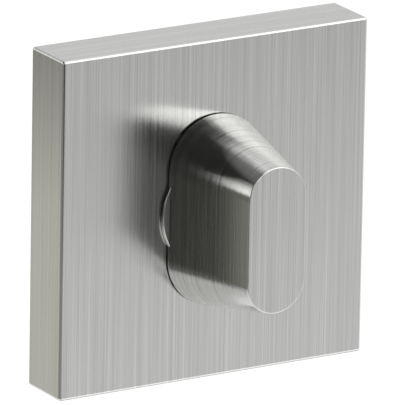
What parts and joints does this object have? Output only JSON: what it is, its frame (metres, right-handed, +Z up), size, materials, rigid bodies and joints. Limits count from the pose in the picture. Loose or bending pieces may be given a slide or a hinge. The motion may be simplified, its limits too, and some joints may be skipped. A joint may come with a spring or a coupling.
{
  "type": "door thumb turn rose",
  "caption": "Square brushed metal door rose with a tapered stadium thumb turn on a round neck, a square spindle behind it and hidden fixings under a clip-on cover.",
  "frame": {"origin": "where the spindle's axis crosses the door's face, in the plane of the rose's back", "axes": "+Z up, -Y out of the door towards the user, +X to the user's right when facing the rose; +Y runs along the spindle into the door"},
  "size_m": [0.052, 0.0629, 0.052],
  "materials": {
    "satin_steel": "satin, brushed in one direction",
    "dark_nylon": "moulded, fine texture",
    "white_acetal": "smooth, turned",
    "spring_steel": "bright rolled strip",
    "zinc_plate": "bright zinc plate",
    "black_steel": "phosphated, slightly oiled",
    "black_rubber": "smooth"
  },
  "bodies": {
    "rose": {"rose_cover": "satin_steel", "base_plate": "dark_nylon", "bearing_bush": "white_acetal", "cover_clip_1": "spring_steel", "cover_clip_2": "spring_steel", "cover_clip_3": "spring_steel", "cover_clip_4": "spring_steel", "wood_screw_1": "zinc_plate", "wood_screw_2": "zinc_plate", "wood_screw_3": "zinc_plate", "wood_screw_4": "zinc_plate", "spring_washer": "spring_steel"},
    "turn": {"thumb_turn": "satin_steel", "turn_neck": "satin_steel", "turn_screw": "zinc_plate", "drive_pin_1": "zinc_plate", "drive_pin_2": "zinc_plate", "spindle": "zinc_plate", "spindle_grub_screw": "black_steel", "retaining_ring": "black_steel", "thrust_washer": "white_acetal", "friction_ring": "black_rubber"}
  },
  "joints": [
    {"name": "turn_rotation", "type": "hinge", "parent": "rose", "child": "turn", "pos_m": [0, 0, 0], "axis": [0, -1, 0], "range_deg": [-90, 90]}
  ]
}
